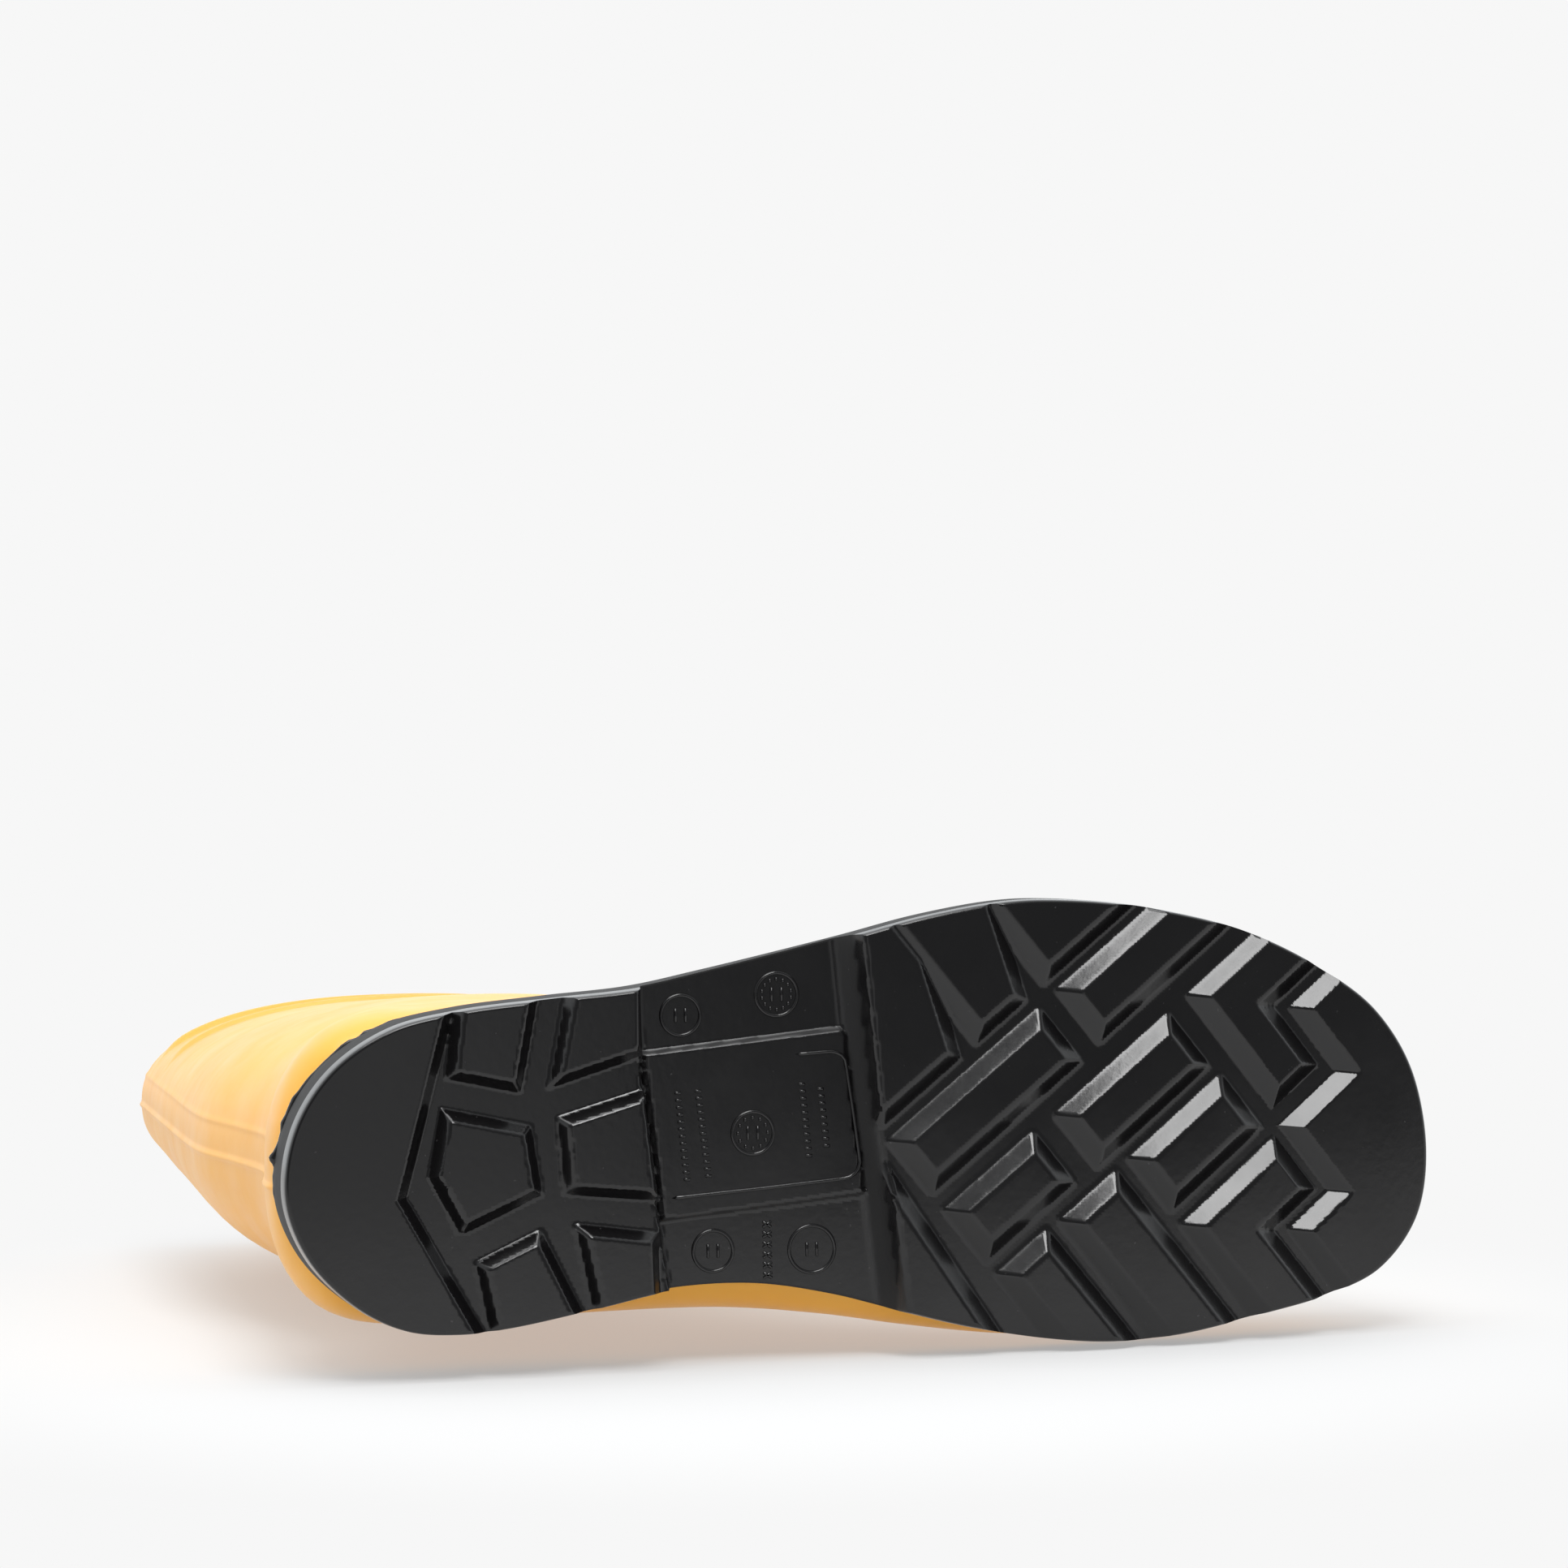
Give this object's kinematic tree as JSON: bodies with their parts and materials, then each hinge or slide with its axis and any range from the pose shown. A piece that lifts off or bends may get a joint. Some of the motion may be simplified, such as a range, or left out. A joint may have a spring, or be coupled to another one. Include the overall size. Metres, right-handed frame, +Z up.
{
  "type": "safety wellington boot",
  "caption": "Knee-high moulded yellow firefighter's boot with a black lugged sole, knitted lining, steel toe cap and removable footbed.",
  "frame": {"origin": "on the ground under the middle of the boot's box", "axes": "+Z up the shaft, toe towards -Y, inner (medial) side of the foot towards +X"},
  "size_m": [0.1156, 0.3074, 0.38],
  "materials": {
    "black_pvc": "glossy moulded",
    "yellow_pvc": "semi-gloss moulded",
    "knit_lining": "knitted",
    "footbed_felt": "felt over foam",
    "heel_foam": "foamed",
    "plate_steel": "rolled",
    "cap_steel": "powder coated",
    "trim_rubber": "matte",
    "fibre_board": "pressed fibre"
  },
  "bodies": {
    "boot": {"outsole": "black_pvc", "heel_core": "heel_foam", "upper": "yellow_pvc", "steel_midsole": "plate_steel", "insole_board": "fibre_board", "toe_cap": "cap_steel", "toe_cap_edge_trim": "trim_rubber", "lining_sock": "knit_lining"},
    "insock": {"footbed": "footbed_felt"}
  },
  "joints": [
    {"name": "footbed_lift", "type": "hinge", "parent": "boot", "child": "insock", "pos_m": [-0.004, -0.138, 0.032], "axis": [1, 0, 0], "range_deg": [0, 10]}
  ]
}
